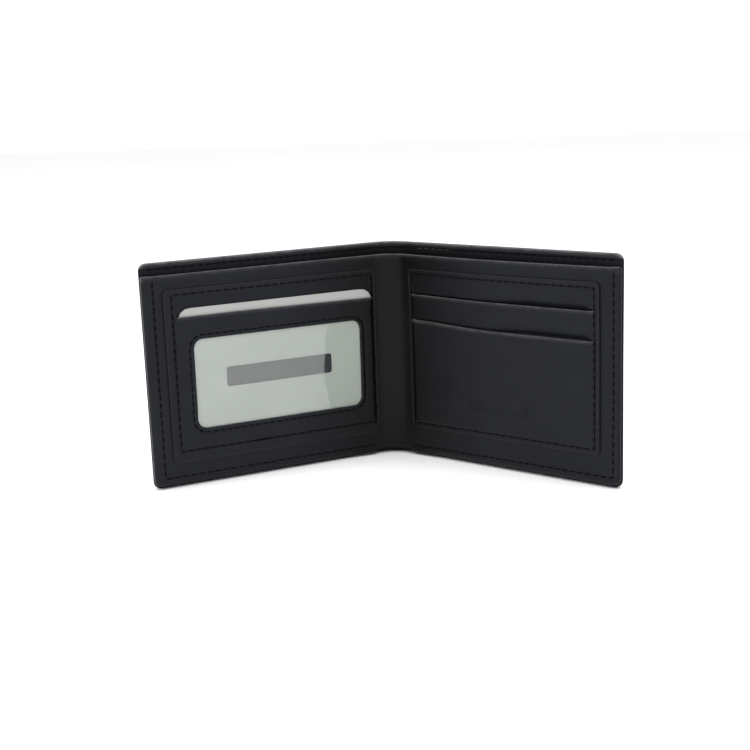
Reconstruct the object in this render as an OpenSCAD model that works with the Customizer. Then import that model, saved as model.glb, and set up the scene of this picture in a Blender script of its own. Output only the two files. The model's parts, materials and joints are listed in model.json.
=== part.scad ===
// Slim two-fold leather wallet standing in a V on its bottom edges.
// Every panel piece is drawn in panel coordinates: X runs out from the fold line,
// depth runs from the outer face of the cover towards the inside, Z is up.
// The origin is on the bottom edge of the spine, midway between the two fold lines.

/* [Wallet] */
// Height of the outer cover
wallet_h = 95; // [88:0.5:104]
// Length of a panel from its fold line to its outer edge
panel_len = 105.8; // [104:0.1:120]
// Distance between the two fold lines
spine_w = 14; // [14:0.1:18]
// Angle that each panel is turned in from lying flat
half_turn = 32; // [20:1:45]
// Radius of the outer corners
corner_r = 3; // [1:0.5:5]

/* [Leather and lining] */
// Thickness of the cover leather
cover_t = 1.1; // [0.9:0.05:1.3]
// Thickness of the board inside the cover
stiffener_t = 0.3; // [0.2:0.05:0.4]
// Thickness of the lining cloth
lining_t = 0.2; // [0.15:0.05:0.25]
// Thickness of the leather turned in along the edges
hem_t = 0.6; // [0.4:0.05:0.8]
// Depth of the note compartment
bill_gap = 2.4; // [1.8:0.1:2.5]
// Thickness of the inner liner leather
liner_t = 0.8; // [0.6:0.05:0.9]
// How far the liner's top edge is below the cover's
liner_drop = 5.1; // [3:0.1:8]

/* [Pockets] */
// Distance of the left pocket block from the fold line
left_block_start = 2; // [2:0.1:3]
// Distance of the right pocket block from the fold line
right_block_start = 4.6; // [3.8:0.1:6]
// Distance of a pocket block from the panel's outer edge
block_margin = 8.1; // [7:0.1:10]
// Height of the right pocket block's bottom edge
block_z0 = 13.4; // [12:0.1:16]
// Height of the left pocket block's bottom edge
left_block_z0 = 10.6; // [9:0.1:12]
// Height of a pocket block's top edge
block_z1 = 83.8; // [82:0.1:86]
// Thickness of the pocket leather
facing_t = 0.7; // [0.5:0.05:0.8]
// Height of the upper slot's lip
upper_slot_z = 72.4; // [70:0.1:75]
// Height of the lower slot's lip on the right panel
lower_slot_z = 60.2; // [56:0.1:64]

/* [Window and card] */
// Width of the window
window_w = 75.6; // [60:0.1:78]
// Height of the window
window_h = 38; // [30:0.1:42]
// Distance of the window from the fold line
window_start = 10.7; // [9.6:0.1:12]
// Height of the window's bottom edge
window_z = 24.5; // [22:0.1:28]
// Radius of the window's corners
window_r = 4; // [2:0.5:6]
// Thickness of the clear film
film_t = 0.2; // [0.1:0.05:0.25]
// Width of the insert card
card_w = 87.6; // [80:0.1:88]
// Height of the insert card
card_h = 59.6; // [57:0.1:62]
// Thickness of the insert card
card_t = 0.4; // [0.2:0.05:0.45]
// Radius of the card's corners
card_r = 5; // [3:0.5:6]
// Lean of the card out through its slot
card_lean = 0.85; // [0.8:0.05:0.9]

/* [Stitching] */
// Distance of the left edge seam from the side
left_edge_seam_in = 4.5; // [2:0.1:5]
// Distance of the right edge seam from the side
right_edge_seam_in = 2.5; // [2:0.1:5]
// Height of the edge seam along the bottom
edge_seam_z = 4.6; // [4:0.1:7]
// Distance of the hem seam below the cover's top
hem_seam_drop = 2.7; // [2:0.1:4]
// Distance of a pocket seam inside its block's outline
block_seam_in = 2.2; // [1.8:0.1:2.6]
// The same distance next to the fold
fold_seam_in = 1.5; // [1.2:0.1:2.2]
// The same distance at the left block's outer side
left_seam_in = 3.6; // [2:0.1:4.4]
// Distance of the window seam outside the window
window_seam_out = 1.8; // [1.2:0.1:2]
// Width of a thread
thread_w = 0.45; // [0.3:0.05:0.6]
// How far a thread stands proud
thread_t = 0.2; // [0.1:0.05:0.25]

/* [Hidden] */
$fn = 64;

// Depths from the outer face of the cover
hinge_depth = 1.0;
lining_d = cover_t + stiffener_t;
gap_d = lining_d + lining_t;
backing_d = gap_d + bill_gap;
liner_d = backing_d + lining_t;
block_d = liner_d + liner_t;
pocket_d = block_d + lining_t;
strip_d = pocket_d + facing_t;

// Where the layers start along a panel, so that they clear the spine when it folds
cover_start = 0.4;
hem_start = 0.6;
lining_start = 1.0;
bottom_hem_start = 1.5;
liner_start = 1.8;
fold_end = 1.6;
spine_gap = 0.4;
spine_lining_half = spine_w / 2 - 1.0;
spine_hem_half = spine_w / 2 - 1.5;

// Edges turned in
hem_band = 10.5;
hem_cap = 1.4;
turn_band = 5.5;
edge_inset = 1.0;
liner_z0 = 1.2;
liner_z1 = wallet_h - liner_drop;

// Pocket blocks, as distances from the fold line
block_end = panel_len - block_margin;
left_block = [left_block_start, block_end];
right_block = [right_block_start, block_end];
block_r = 2;
back_inset = 0.5;
pocket_floor = 2.6;
slot_inset = 2.4;
slot_gap = 0.2;
floor_inset = 0.1;
divider_inset = 0.15;
film_lap = 1;
bag_z = block_z0 + pocket_floor;
lip_step = 1.1;
play = 0.1;

// Card and the leaning front of the left pocket
lean = tan(card_lean);
card_d = pocket_d + play;
card_x = left_block_start + slot_inset + play;
left_slot = [left_block_start + slot_inset, card_x + card_w + 4 * play];
front_in_d = card_d + card_t + film_t + 0.07;

// Right pocket: the middle strip lies behind the lower field
middle_z0 = lower_slot_z - 3.2;
middle_d = pocket_d + play;
middle_lip_d = middle_d + 1.05;
lower_d = pocket_d + 0.55;
lower_lip_d = pocket_d + 1.47;

// Stitch lines
hem_seam_z = wallet_h - hem_seam_drop;
liner_seam_top = liner_z1 - 1.4;
seam_start = liner_start + 0.2;

// The liner's fold is an arc that leaves both panels without a kink
fold_x = spine_w / 2 + fold_end * cos(half_turn);
fold_y = fold_end * sin(half_turn);
fold_r_in = fold_x / sin(half_turn) - (block_d - hinge_depth);
fold_y0 = -fold_y - fold_x / tan(half_turn);

leather = [0.12, 0.12, 0.13];
leather_lit = [0.17, 0.17, 0.18];
cloth = [0.08, 0.08, 0.09];
board = [0.45, 0.42, 0.38];
thread = [0.03, 0.03, 0.03];
paper = [0.74, 0.76, 0.75];
clear = [0.85, 0.9, 0.92, 0.35];

// Depth of the left pocket's front face at height z
function left_face_d(z) = front_in_d + facing_t + lean * (z - bag_z);

// Places a piece drawn in panel coordinates on the right or the left panel
module on_right() translate([spine_w / 2, 0, 0]) rotate([0, 0, -half_turn]) children();
module on_left() mirror([1, 0, 0]) on_right() children();

// A flat piece between two distances, two depths and two heights
module plate(x, depth, z)
    translate([x[0], hinge_depth - depth[1], z[0]])
        cube([x[1] - x[0], depth[1] - depth[0], z[1] - z[0]]);

// A profile drawn as [depth, height] and run from one distance to another
module run_of(x, points)
    translate([x[0], 0, 0])
        rotate([90, 0, 90])
            linear_extrude(height = x[1] - x[0])
                polygon([for (p = points) [hinge_depth - p[0], p[1]]]);

// A flat outline drawn as [distance, height] and given two depths
module sheet(depth)
    translate([0, hinge_depth - depth[0], 0])
        rotate([90, 0, 0])
            linear_extrude(height = depth[1] - depth[0])
                children();

// Rectangle with four round corners
module round_rect(x, z, r) {
    translate([x[0] + r, z[0]]) square([x[1] - x[0] - 2 * r, z[1] - z[0]]);
    translate([x[0], z[0] + r]) square([x[1] - x[0], z[1] - z[0] - 2 * r]);
    for (cx = [x[0] + r, x[1] - r], cz = [z[0] + r, z[1] - r])
        translate([cx, cz]) circle(r = r);
}

// Rectangle with its two outer corners round
module outer_round(x, z, r) {
    translate([x[0], z[0]]) square([x[1] - x[0] - r, z[1] - z[0]]);
    translate([x[0], z[0] + r]) square([x[1] - x[0], z[1] - z[0] - 2 * r]);
    for (cz = [z[0] + r, z[1] - r])
        translate([x[1] - r, cz]) circle(r = r);
}

// Straight thread runs
module thread_along(x, z, depth)
    plate(x, [depth, depth + thread_t], [z - thread_w / 2, z + thread_w / 2]);
module thread_up(x, z, depth)
    plate([x - thread_w / 2, x + thread_w / 2], [depth, depth + thread_t], z);
module thread_on_slope(x, z, depth0, depth1)
    run_of([x - thread_w / 2, x + thread_w / 2], [
        [depth0, z[0]],
        [depth0 + thread_t, z[0]],
        [depth1 + thread_t, z[1]],
        [depth1, z[1]]
    ]);

// ---- pieces that both panels have ----

module panel_cover()
    sheet([0, cover_t])
        outer_round([cover_start, panel_len], [0, wallet_h], corner_r);

module panel_stiffener()
    plate([lining_start, panel_len - edge_inset], [cover_t, lining_d], [edge_inset, wallet_h - hem_cap]);

module panel_lining()
    plate([lining_start, panel_len - edge_inset], [lining_d, gap_d], [edge_inset, wallet_h - hem_cap]);

// Cover leather turned over the top edge
module panel_top_hem()
    intersection() {
        run_of([hem_start, panel_len], [
            [cover_t, wallet_h],
            [cover_t, wallet_h - hem_cap],
            [gap_d, wallet_h - hem_cap],
            [gap_d, wallet_h - hem_band],
            [gap_d + hem_t, wallet_h - hem_band],
            [gap_d + hem_t, wallet_h]
        ]);
        sheet([0, block_d])
            outer_round([0, panel_len], [0, wallet_h], corner_r);
    }

// Cover and liner edges turned in along the outer side
module panel_side_hem()
    run_of([panel_len - turn_band, panel_len], [
        [gap_d, turn_band],
        [backing_d, turn_band],
        [backing_d, liner_z1],
        [gap_d + hem_t, liner_z1],
        [gap_d + hem_t, wallet_h - hem_band],
        [gap_d, wallet_h - hem_band]
    ]);

// Cover and liner edges turned in along the bottom
module panel_bottom_hem()
    intersection() {
        plate([bottom_hem_start, panel_len], [gap_d, backing_d], [0, turn_band]);
        sheet([0, block_d])
            outer_round([0, panel_len], [0, wallet_h], corner_r);
    }

module panel_liner_backing()
    plate(
        [liner_start, panel_len - edge_inset],
        [backing_d, liner_d],
        [liner_z0 + edge_inset, liner_z1 - edge_inset]
    );

module panel_liner()
    sheet([liner_d, block_d])
        outer_round([liner_start, panel_len], [liner_z0, liner_z1], corner_r);

module pocket_back(block, z0)
    plate(
        [block[0] + back_inset, block[1] - back_inset],
        [block_d, pocket_d],
        [z0 + back_inset, block_z1 - back_inset]
    );

// Edge seam on the liner and, through the cover, on the outside
module edge_stitching(seam_in) {
    x = panel_len - seam_in;
    for (depth = [block_d, -thread_t]) {
        thread_up(x, [edge_seam_z - thread_w / 2, liner_seam_top], depth);
        thread_along([seam_start, x - thread_w / 2], edge_seam_z, depth);
    }
}

// Hem seam inside the note compartment and on the outside
module hem_stitching()
    for (depth = [gap_d + hem_t, -thread_t])
        thread_along([lining_start, panel_len - right_edge_seam_in], hem_seam_z, depth);

// Thread round a block: bottom run, top run, and the sides given by the children
module block_stitching(sides, bottom_depth) {
    low = block_z0 + block_seam_in;
    high = block_z1 - block_seam_in;
    thread_along(sides, low, bottom_depth);
    thread_along(sides, high, strip_d);
    for (x = sides) {
        translate([x, 0, 0]) children();
        thread_up(x, [upper_slot_z + lip_step, high - thread_w / 2], strip_d);
    }
}

// ---- spine ----

module cover_spine()
    color(leather)
        plate([-spine_w / 2 + spine_gap, spine_w / 2 - spine_gap], [0, cover_t], [0, wallet_h]);

module spine_lining()
    color(cloth)
        plate(
            [-spine_lining_half, spine_lining_half],
            [cover_t, lining_d],
            [edge_inset, wallet_h - hem_cap]
        );

module top_hem_spine()
    color(leather)
        run_of([-spine_hem_half, spine_hem_half], [
            [cover_t, wallet_h],
            [cover_t, wallet_h - hem_cap],
            [lining_d, wallet_h - hem_cap],
            [lining_d, wallet_h - hem_band],
            [lining_d + hem_t, wallet_h - hem_band],
            [lining_d + hem_t, wallet_h]
        ]);

module bottom_hem_spine()
    color(leather)
        plate([-spine_hem_half, spine_hem_half], [lining_d, lining_d + hem_t], [0, turn_band]);

module spine_hem_stitching()
    color(thread)
        for (depth = [lining_d + hem_t, -thread_t])
            thread_along([-spine_hem_half, spine_hem_half], hem_seam_z, depth);

// Liner leather that bends round the fold
module liner_fold()
    color(leather_lit)
        translate([0, fold_y0, liner_z0])
            linear_extrude(height = liner_z1 - liner_z0)
                intersection() {
                    difference() {
                        circle(r = fold_r_in + liner_t, $fn = 128);
                        circle(r = fold_r_in, $fn = 128);
                    }
                    polygon([
                        [0, 0],
                        [-2 * fold_r_in * sin(half_turn), 2 * fold_r_in * cos(half_turn)],
                        [2 * fold_r_in * sin(half_turn), 2 * fold_r_in * cos(half_turn)]
                    ]);
                }

// ---- left panel: window pocket ----

// The window's outline, grown by a margin
module window_outline(margin)
    round_rect(
        [window_start - margin, window_start + window_w + margin],
        [window_z - margin, window_z + window_h + margin],
        window_r + margin
    );

// One piece of leather with the card slot and the window cut in it
module left_pocket_facing()
    color(leather_lit)
        on_left()
            difference() {
                intersection() {
                    union() {
                        // Front that leans out towards the slot's lip
                        run_of(left_block, [
                            [front_in_d - lean * (bag_z - left_block_z0), left_block_z0],
                            [left_face_d(left_block_z0), left_block_z0],
                            [left_face_d(upper_slot_z), upper_slot_z],
                            [left_face_d(upper_slot_z) - facing_t, upper_slot_z]
                        ]);
                        // Strip above the slot
                        plate(left_block, [pocket_d, strip_d], [upper_slot_z + slot_gap, block_z1]);
                        // Closed bottom
                        plate(
                            left_block,
                            [pocket_d, left_face_d(left_block_z0) - floor_inset],
                            [left_block_z0, bag_z]
                        );
                        // Closed sides
                        for (x = [[left_block[0], left_slot[0]], [left_slot[1], left_block[1]]])
                            run_of(x, [
                                [pocket_d, left_block_z0],
                                [left_face_d(left_block_z0), left_block_z0],
                                [left_face_d(upper_slot_z), upper_slot_z],
                                [strip_d, upper_slot_z + lip_step],
                                [strip_d, block_z1],
                                [pocket_d, block_z1]
                            ]);
                    }
                    sheet([0, 2 * block_d])
                        round_rect(left_block, [left_block_z0, block_z1], block_r);
                }
                sheet([pocket_d, 2 * block_d]) window_outline(0);
            }

// Clear film behind the window
module window_film()
    color(clear)
        on_left()
            intersection() {
                run_of(left_block, [
                    [front_in_d - film_t, bag_z],
                    [front_in_d, bag_z],
                    [front_in_d + lean * (upper_slot_z - bag_z), upper_slot_z],
                    [front_in_d + lean * (upper_slot_z - bag_z) - film_t, upper_slot_z]
                ]);
                sheet([pocket_d, 2 * block_d]) window_outline(window_seam_out + film_lap);
            }

module window_stitching()
    color(thread)
        on_left()
            intersection() {
                run_of(left_block, [
                    [left_face_d(bag_z), bag_z],
                    [left_face_d(bag_z) + thread_t, bag_z],
                    [left_face_d(upper_slot_z) + thread_t, upper_slot_z],
                    [left_face_d(upper_slot_z), upper_slot_z]
                ]);
                sheet([pocket_d, 2 * block_d])
                    difference() {
                        window_outline(window_seam_out + thread_w / 2);
                        window_outline(window_seam_out - thread_w / 2);
                    }
            }

module left_pocket_stitching() {
    low = block_z0 + block_seam_in;
    color(thread)
        on_left()
            block_stitching(
                [left_block[0] + fold_seam_in, left_block[1] - left_seam_in],
                left_face_d(low + thread_w / 2)
            )
                thread_on_slope(
                    0,
                    [low + thread_w / 2, upper_slot_z],
                    left_face_d(low + thread_w / 2),
                    left_face_d(upper_slot_z)
                );
}

// Loose printed card, leaning from the pocket's back at the bottom to the slot's lip
module insert_card()
    color(paper)
        on_left()
            translate([0, hinge_depth - card_d, bag_z + play])
                rotate([card_lean, 0, 0])
                    rotate([90, 0, 0])
                        linear_extrude(height = card_t)
                            round_rect([card_x, card_x + card_w], [0, card_h], card_r);

// ---- right panel: two card slots ----

module right_pocket_facing()
    color(leather_lit)
        on_right()
            intersection() {
                union() {
                    // Lower field
                    run_of(right_block, [
                        [lower_d, block_z0],
                        [lower_d + facing_t, block_z0],
                        [lower_lip_d + facing_t, lower_slot_z],
                        [lower_lip_d, lower_slot_z]
                    ]);
                    // Middle strip, tucked in behind the lower field
                    run_of(right_block, [
                        [middle_d, middle_z0],
                        [middle_d + facing_t, middle_z0],
                        [middle_lip_d + facing_t, upper_slot_z],
                        [middle_lip_d, upper_slot_z]
                    ]);
                    // Strip above the upper slot
                    plate(right_block, [pocket_d, strip_d], [upper_slot_z + slot_gap, block_z1]);
                    // Closed bottom
                    plate(right_block, [pocket_d, lower_d + facing_t / 2], [block_z0, bag_z]);
                    // Closed sides
                    for (x = [right_block[0], right_block[1] - slot_inset])
                        run_of([x, x + slot_inset], [
                            [pocket_d, block_z0],
                            [lower_d + facing_t, block_z0],
                            [lower_lip_d + facing_t, lower_slot_z],
                            [middle_d + facing_t, lower_slot_z + lip_step],
                            [middle_lip_d + facing_t, upper_slot_z],
                            [strip_d, upper_slot_z + lip_step],
                            [strip_d, block_z1],
                            [pocket_d, block_z1]
                        ]);
                }
                sheet([0, 2 * block_d])
                    round_rect(right_block, [block_z0, block_z1], block_r);
            }

// Cloth between the two card spaces, hanging from the middle strip
module slot_divider()
    color(cloth)
        on_right()
            plate(
                [right_block[0] + slot_inset, right_block[1] - slot_inset],
                [middle_d + divider_inset, middle_d + divider_inset + lining_t],
                [bag_z, middle_z0]
            );

module right_pocket_stitching() {
    low = block_z0 + block_seam_in;
    rise = (lower_lip_d - lower_d) / (lower_slot_z - block_z0);
    low_d = lower_d + facing_t + rise * (low + thread_w / 2 - block_z0);
    color(thread)
        on_right()
            block_stitching([right_block[0] + fold_seam_in, right_block[1] - block_seam_in], low_d)
                thread_on_slope(0, [low + thread_w / 2, lower_slot_z], low_d, lower_lip_d + facing_t);
}

// ---- what is drawn ----

cover_spine();
spine_lining();
top_hem_spine();
bottom_hem_spine();
spine_hem_stitching();
liner_fold();

color(leather) on_left() panel_cover();  // cover_left
color(board) on_left() panel_stiffener();  // stiffener_left
color(cloth) on_left() panel_lining();  // lining_left
color(leather) on_left() panel_top_hem();  // top_hem_left
color(leather) on_left() panel_side_hem();  // side_hem_left
color(leather) on_left() panel_bottom_hem();  // bottom_hem_left
color(cloth) on_left() panel_liner_backing();  // liner_backing_left
color(leather_lit) on_left() panel_liner();  // liner_left
color(cloth) on_left() pocket_back(left_block, left_block_z0);  // left_pocket_back
left_pocket_facing();
window_film();
window_stitching();
left_pocket_stitching();
color(thread) on_left() edge_stitching(left_edge_seam_in);  // left_edge_stitching
color(thread) on_left() hem_stitching();  // left_hem_stitching
insert_card();

color(leather) on_right() panel_cover();  // cover_right
color(board) on_right() panel_stiffener();  // stiffener_right
color(cloth) on_right() panel_lining();  // lining_right
color(leather) on_right() panel_top_hem();  // top_hem_right
color(leather) on_right() panel_side_hem();  // side_hem_right
color(leather) on_right() panel_bottom_hem();  // bottom_hem_right
color(cloth) on_right() panel_liner_backing();  // liner_backing_right
color(leather_lit) on_right() panel_liner();  // liner_right
color(cloth) on_right() pocket_back(right_block, block_z0);  // right_pocket_back
slot_divider();
right_pocket_facing();
right_pocket_stitching();
color(thread) on_right() edge_stitching(right_edge_seam_in);  // right_edge_stitching
color(thread) on_right() hem_stitching();  // right_hem_stitching
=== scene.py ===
"""Looks for the leather bifold wallet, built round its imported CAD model.

Panel coordinates are used throughout: s runs out from the fold line along a panel, d is the depth from the
outer face of the cover towards the inside, and z is up. Everything is in metres, in the CAD model's frame.
"""

import json
import math

import bmesh
import bpy
import numpy as np
from mathutils import Matrix, Vector


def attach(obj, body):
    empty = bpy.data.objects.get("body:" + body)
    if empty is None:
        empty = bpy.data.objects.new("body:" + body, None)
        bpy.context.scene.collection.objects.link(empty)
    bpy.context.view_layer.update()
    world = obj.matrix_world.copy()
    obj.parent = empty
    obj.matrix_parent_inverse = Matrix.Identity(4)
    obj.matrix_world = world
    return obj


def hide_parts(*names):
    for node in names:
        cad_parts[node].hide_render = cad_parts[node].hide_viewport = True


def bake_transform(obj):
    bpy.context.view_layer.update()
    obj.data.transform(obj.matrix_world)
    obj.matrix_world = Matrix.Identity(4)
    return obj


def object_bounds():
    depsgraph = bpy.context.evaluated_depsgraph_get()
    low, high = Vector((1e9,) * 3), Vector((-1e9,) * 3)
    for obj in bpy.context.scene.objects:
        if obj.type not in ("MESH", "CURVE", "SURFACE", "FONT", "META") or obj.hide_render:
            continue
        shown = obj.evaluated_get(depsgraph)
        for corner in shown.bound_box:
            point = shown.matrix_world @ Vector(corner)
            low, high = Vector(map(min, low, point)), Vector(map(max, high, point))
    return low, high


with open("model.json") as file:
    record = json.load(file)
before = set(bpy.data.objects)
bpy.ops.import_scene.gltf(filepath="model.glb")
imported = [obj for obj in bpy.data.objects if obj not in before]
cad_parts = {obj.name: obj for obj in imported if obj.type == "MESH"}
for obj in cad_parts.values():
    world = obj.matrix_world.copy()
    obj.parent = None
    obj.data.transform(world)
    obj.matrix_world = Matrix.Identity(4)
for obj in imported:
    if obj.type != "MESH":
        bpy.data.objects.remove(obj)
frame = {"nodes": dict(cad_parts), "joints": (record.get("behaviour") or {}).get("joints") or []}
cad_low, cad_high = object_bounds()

MM = 0.001

# ---- the CAD frame ----

FOLD = next(j for j in frame["joints"] if j["name"] == "right_fold")
SPINE_HALF = abs(FOLD["pos_m"][0])
HALF_TURN = math.radians(-FOLD["range_deg"][0])
SIN, COS = math.sin(HALF_TURN), math.cos(HALF_TURN)
HINGE_DEPTH = 1.0 * MM
SIDES = {"left": -1, "right": 1}


def panel_points(node):
    """A CAD node's corners as rows of (s, d, z) in its own panel's coordinates."""
    co = np.array([v.co for v in frame["nodes"][node].data.vertices], float)
    out = co[:, 0] * np.sign(co[:, 0].mean()) - SPINE_HALF
    s = out * COS - co[:, 1] * SIN
    d = HINGE_DEPTH - out * SIN - co[:, 1] * COS
    return np.stack([s, d, co[:, 2]], -1)


def panel_box(node):
    points = panel_points(node)
    return points.min(0), points.max(0)


def front_depth(node, height):
    """The greatest depth that a node reaches at one height."""
    points = panel_points(node)
    level = np.abs(points[:, 2] - height) < 0.02 * MM
    return points[level, 1].max()


def lip_of(node):
    """Depth and height of the place where a node stands out furthest."""
    points = panel_points(node)
    top = points[points[:, 1].argmax()]
    return top[1], top[2]


def outline(low, high):
    """The (s, z) corners of a panel box."""
    return low[[0, 2]], high[[0, 2]]


# ---- sizes ----

PANEL_END, HEIGHT = panel_box("cover_right")[1][[0, 2]]
HEM_Z = HEIGHT - 10.5 * MM
RIM_DEPTH = panel_box("top_hem_right")[1][1]
TURNED_BAND = panel_box("bottom_hem_right")[1][2]
LINING_LOW, LINING_HIGH = panel_box("lining_right")
LINER_LOW, LINER_HIGH = panel_box("liner_right")
LINER_FACE = LINER_HIGH[1]
LINER_T = LINER_HIGH[1] - LINER_LOW[1]
BLOCKS = {side: panel_box(word + "_pocket_facing") for word, side in SIDES.items()}
BLOCK_END, BLOCK_Z1 = BLOCKS[1][1][[0, 2]]
THREAD_HALF = np.array([0.225, 0, 0.225]) * MM
STRIP_FACE = front_depth("left_pocket_facing", BLOCK_Z1)
LEFT_LIP_D, UPPER_LIP_Z = lip_of("left_pocket_facing")
LOWER_LIP_D, LOWER_LIP_Z = lip_of("right_pocket_facing")
LOWER_FOOT_D = front_depth("right_pocket_facing", BLOCKS[1][0][2])
FIELD_Z0 = BLOCKS[1][0][2]
MIDDLE_LIP_D = front_depth("right_pocket_facing", UPPER_LIP_Z)
MIDDLE_FOOT_D = STRIP_FACE + 0.3 * MM
CARD_LOW, CARD_HIGH = panel_box("insert_card")
CARD_T = 0.4 * MM
LEAN = (CARD_HIGH[1] - CARD_LOW[1] - CARD_T) / (CARD_HIGH[2] - CARD_LOW[2])
FILM_LOW, FILM_HIGH = panel_box("window_film")
FILM_LAP = 2.8 * MM
FILM_T = 0.2 * MM
WINDOW_LOW, WINDOW_HIGH = FILM_LOW + FILM_LAP, FILM_HIGH - FILM_LAP
WINDOW = outline(WINDOW_LOW, WINDOW_HIGH)
EDGE_SEAM_S = {
    side: (panel_box(word + "_edge_stitching")[1] - THREAD_HALF)[0]
    for word, side in SIDES.items()
}
EDGE_SEAM_Z = (panel_box("right_edge_stitching")[0] + THREAD_HALF)[2]
HEM_SEAM_Z = (panel_box("right_hem_stitching")[1] - THREAD_HALF)[2]
SEAMS = {side: panel_box(word + "_pocket_stitching") for word, side in SIDES.items()}
SEAMS = {side: (low + THREAD_HALF, high - THREAD_HALF) for side, (low, high) in SEAMS.items()}
WINDOW_SEAM = 1.8 * MM

CORNER_R = 3.2 * MM
BLOCK_R = 2.2 * MM
WINDOW_R = 4.0 * MM
CARD_R = 5.0 * MM
FACING_T = 0.7 * MM
SLOT_INSET = panel_box("slot_divider")[0][0] - BLOCKS[1][0][0]
SLOTS = {
    -1: (BLOCKS[-1][0][0] + SLOT_INSET, CARD_HIGH[0] + 0.4 * MM),
    1: (BLOCKS[1][0][0] + SLOT_INSET, BLOCK_END - SLOT_INSET),
}
SLOT_GAP = 0.25 * MM
EDGE_DROP = 1.15 * MM
GROOVE = 0.28 * MM
THREAD_R = 0.24 * MM
STITCH = 3.6 * MM
EDGE_FACE = STRIP_FACE + 0.05 * MM


# ---- shapes in panel coordinates ----


class Wrap:
    """How a sheet goes round the fold: along an arc that leaves both panels without a kink."""

    def __init__(self, leave, depth):
        self.leave = leave
        self.radius = (SPINE_HALF + leave * COS + HINGE_DEPTH * SIN) / SIN
        self.centre = -leave * SIN + HINGE_DEPTH * COS - self.radius * COS
        self.arc = self.radius - depth
        self.middle = leave - self.arc * HALF_TURN


COVER_WRAP = Wrap(1.0 * MM, 0.8 * MM)
LINER_WRAP = Wrap(LINER_LOW[0], LINER_FACE)


def place(side, s, d, z, wrap=None):
    """Points in the CAD frame for panel coordinates on the left (-1) or right (1) panel."""
    x = SPINE_HALF + s * COS - (d - HINGE_DEPTH) * SIN
    y = -s * SIN - (d - HINGE_DEPTH) * COS
    if wrap:
        turn = HALF_TURN - (wrap.leave - s) / wrap.arc
        bent = s < wrap.leave
        x = np.where(bent, (wrap.radius - d) * np.sin(turn), x)
        y = np.where(bent, wrap.centre + (wrap.radius - d) * np.cos(turn), y)
    return np.stack([side * x, y, z + 0 * x], -1)


def smooth(t):
    """0 below 0, 1 above 1, and an S curve between."""
    t = np.clip(t, 0, 1)
    return t * t * (3 - 2 * t)


ROUND_STEPS = np.array([0, 0.03, 0.12, 0.3, 0.6, 1.0])
LEDGE_STEPS = np.array([0, 0.12, 0.24, 0.36]) * MM
GROOVE_STEPS = np.array([-1.3, -0.8, -0.5, -0.25, 0, 0.25, 0.5, 0.8, 1.3]) * MM


def rounding(edge, radius):
    """How far a face falls back near its edge, as a quarter circle."""
    near = np.clip(edge, 0, radius)
    return radius - np.sqrt(radius**2 - (radius - near) ** 2)


def groove(away, depth=GROOVE, width=0.55 * MM):
    """A seam's valley, by the distance away from the seam."""
    return -depth * np.exp(-((away / width) ** 2))


def ripple(s, z, phase):
    """Slow, slight unevenness, as soft leather has."""
    waves = np.sin(s / (9 * MM) + 2.1 * phase) * np.sin(z / (13 * MM) + phase)
    waves = waves + 0.6 * np.sin(s / (17 * MM) - z / (8 * MM) + 3.7 * phase)
    return 0.045 * MM * waves


def ticks(low, high, step, fine=()):
    """Grid lines from low to high: all the fine ones, and even ones where there is room."""
    chosen = [low, high]
    for value in np.concatenate([np.ravel(f) for f in fine] + [[]]):
        if low < value < high and min(abs(value - c) for c in chosen) > 0.012 * MM:
            chosen.append(float(value))
    for value in np.linspace(low, high, int(round((high - low) / step)) + 1):
        if min(abs(value - c) for c in chosen) > 0.3 * step:
            chosen.append(float(value))
    return np.array(sorted(chosen))


def edge_lines(low, high, radius):
    """Fine grid lines for rounded edges at low and high."""
    return [low + radius * ROUND_STEPS, high - radius * ROUND_STEPS]


def box_edge(s, z, low, high):
    """Distance inside a rectangle's outline."""
    return np.minimum(np.minimum(s - low[0], high[0] - s), np.minimum(z - low[1], high[1] - z))


def turn_corner(s, z, centre, facing, reach, fade=0.0):
    """Bends the grid's square rings round a centre into arcs out to reach, and eases off over fade."""
    a, b = (s - centre[0]) * facing[0], (z - centre[1]) * facing[1]
    ring = np.maximum(a, b)
    share = np.minimum(a, b) / np.maximum(ring, 1e-9)
    angle = np.where(a >= b, math.pi / 4 * share, math.pi / 2 - math.pi / 4 * share)
    inside = (a > 0) & (b > 0) & (ring <= reach + fade + 1e-9)
    ease = 1 - smooth((ring - reach) / fade) if fade else 1.0
    s_new = s + np.where(inside, ease * (ring * np.cos(angle) - a), 0) * facing[0]
    z_new = z + np.where(inside, ease * (ring * np.sin(angle) - b), 0) * facing[1]
    return s_new, z_new


ALL_CORNERS = ((-1, -1), (-1, 1), (1, -1), (1, 1))


def round_outline(s, z, low, high, radius, corners=ALL_CORNERS, beyond=0.0, fade=0.0):
    """Rounds a rectangle's corners on a grid, and the grid outside them as far as beyond."""
    for facing in corners:
        centre = [high[k] - radius if facing[k] > 0 else low[k] + radius for k in (0, 1)]
        s, z = turn_corner(s, z, centre, facing, radius + beyond, fade)
    return s, z


# ---- meshes ----


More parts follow.
